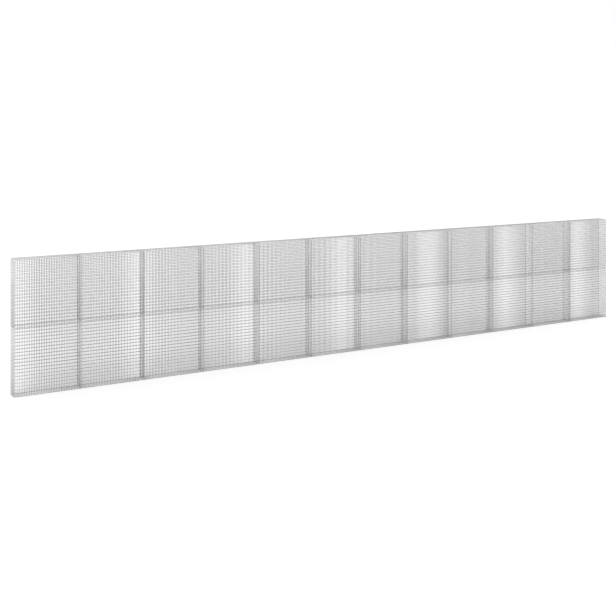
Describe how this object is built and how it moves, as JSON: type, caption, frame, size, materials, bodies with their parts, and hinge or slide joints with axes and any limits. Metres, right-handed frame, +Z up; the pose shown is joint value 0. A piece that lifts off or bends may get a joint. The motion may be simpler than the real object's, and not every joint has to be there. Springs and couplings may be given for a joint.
{
  "type": "gabion wall",
  "caption": "Slim two-tier wall of empty welded-mesh gabion bays, tied with spirals, each bay with a hinged mesh lid for filling.",
  "frame": {"origin": "ground level, in the middle of the wall's footprint", "axes": "+X along the wall to its right end, +Y from the front face to the back, +Z up"},
  "size_m": [12, 0.2, 2],
  "materials": {
    "mesh_wire": "hot-dip galvanised welded wire, dull grey zinc",
    "spiral_wire": "galvanised spiral binding wire, slightly darker grey"
  },
  "bodies": {
    "cage": {"front_panel_bay_01": "mesh_wire", "front_panel_bay_02": "mesh_wire", "front_panel_bay_03": "mesh_wire", "front_panel_bay_04": "mesh_wire", "front_panel_bay_05": "mesh_wire", "front_panel_bay_06": "mesh_wire", "front_panel_bay_07": "mesh_wire", "front_panel_bay_08": "mesh_wire", "front_panel_bay_09": "mesh_wire", "front_panel_bay_10": "mesh_wire", "front_panel_bay_11": "mesh_wire", "front_panel_bay_12": "mesh_wire", "back_panel_bay_01": "mesh_wire", "back_panel_bay_02": "mesh_wire", "back_panel_bay_03": "mesh_wire", "back_panel_bay_04": "mesh_wire", "back_panel_bay_05": "mesh_wire", "back_panel_bay_06": "mesh_wire", "back_panel_bay_07": "mesh_wire", "back_panel_bay_08": "mesh_wire", "back_panel_bay_09": "mesh_wire", "back_panel_bay_10": "mesh_wire", "back_panel_bay_11": "mesh_wire", "back_panel_bay_12": "mesh_wire", "left_end_panel": "mesh_wire", "right_end_panel": "mesh_wire", "dividers": "mesh_wire", "base_panels": "mesh_wire", "corner_spirals": "spiral_wire", "base_spirals": "spiral_wire", "tier_spirals": "spiral_wire", "lid_hinge_spirals": "spiral_wire", "lid_closing_spirals": "spiral_wire"},
    "lid_01": {"lid_bay_01": "mesh_wire"},
    "lid_02": {"lid_bay_02": "mesh_wire"},
    "lid_03": {"lid_bay_03": "mesh_wire"},
    "lid_04": {"lid_bay_04": "mesh_wire"},
    "lid_05": {"lid_bay_05": "mesh_wire"},
    "lid_06": {"lid_bay_06": "mesh_wire"},
    "lid_07": {"lid_bay_07": "mesh_wire"},
    "lid_08": {"lid_bay_08": "mesh_wire"},
    "lid_09": {"lid_bay_09": "mesh_wire"},
    "lid_10": {"lid_bay_10": "mesh_wire"},
    "lid_11": {"lid_bay_11": "mesh_wire"},
    "lid_12": {"lid_bay_12": "mesh_wire"}
  },
  "joints": [
    {"name": "lid_01_hinge", "type": "hinge", "parent": "cage", "child": "lid_01", "pos_m": [-5.5, 0.0965, 1.996], "axis": [-1, 0, 0], "range_deg": [0, 200]},
    {"name": "lid_02_hinge", "type": "hinge", "parent": "cage", "child": "lid_02", "pos_m": [-4.5, 0.0965, 1.996], "axis": [-1, 0, 0], "range_deg": [0, 200]},
    {"name": "lid_03_hinge", "type": "hinge", "parent": "cage", "child": "lid_03", "pos_m": [-3.5, 0.0965, 1.996], "axis": [-1, 0, 0], "range_deg": [0, 200]},
    {"name": "lid_04_hinge", "type": "hinge", "parent": "cage", "child": "lid_04", "pos_m": [-2.5, 0.0965, 1.996], "axis": [-1, 0, 0], "range_deg": [0, 200]},
    {"name": "lid_05_hinge", "type": "hinge", "parent": "cage", "child": "lid_05", "pos_m": [-1.5, 0.0965, 1.996], "axis": [-1, 0, 0], "range_deg": [0, 200]},
    {"name": "lid_06_hinge", "type": "hinge", "parent": "cage", "child": "lid_06", "pos_m": [-0.5, 0.0965, 1.996], "axis": [-1, 0, 0], "range_deg": [0, 200]},
    {"name": "lid_07_hinge", "type": "hinge", "parent": "cage", "child": "lid_07", "pos_m": [0.5, 0.0965, 1.996], "axis": [-1, 0, 0], "range_deg": [0, 200]},
    {"name": "lid_08_hinge", "type": "hinge", "parent": "cage", "child": "lid_08", "pos_m": [1.5, 0.0965, 1.996], "axis": [-1, 0, 0], "range_deg": [0, 200]},
    {"name": "lid_09_hinge", "type": "hinge", "parent": "cage", "child": "lid_09", "pos_m": [2.5, 0.0965, 1.996], "axis": [-1, 0, 0], "range_deg": [0, 200]},
    {"name": "lid_10_hinge", "type": "hinge", "parent": "cage", "child": "lid_10", "pos_m": [3.5, 0.0965, 1.996], "axis": [-1, 0, 0], "range_deg": [0, 200]},
    {"name": "lid_11_hinge", "type": "hinge", "parent": "cage", "child": "lid_11", "pos_m": [4.5, 0.0965, 1.996], "axis": [-1, 0, 0], "range_deg": [0, 200]},
    {"name": "lid_12_hinge", "type": "hinge", "parent": "cage", "child": "lid_12", "pos_m": [5.5, 0.0965, 1.996], "axis": [-1, 0, 0], "range_deg": [0, 200]}
  ]
}
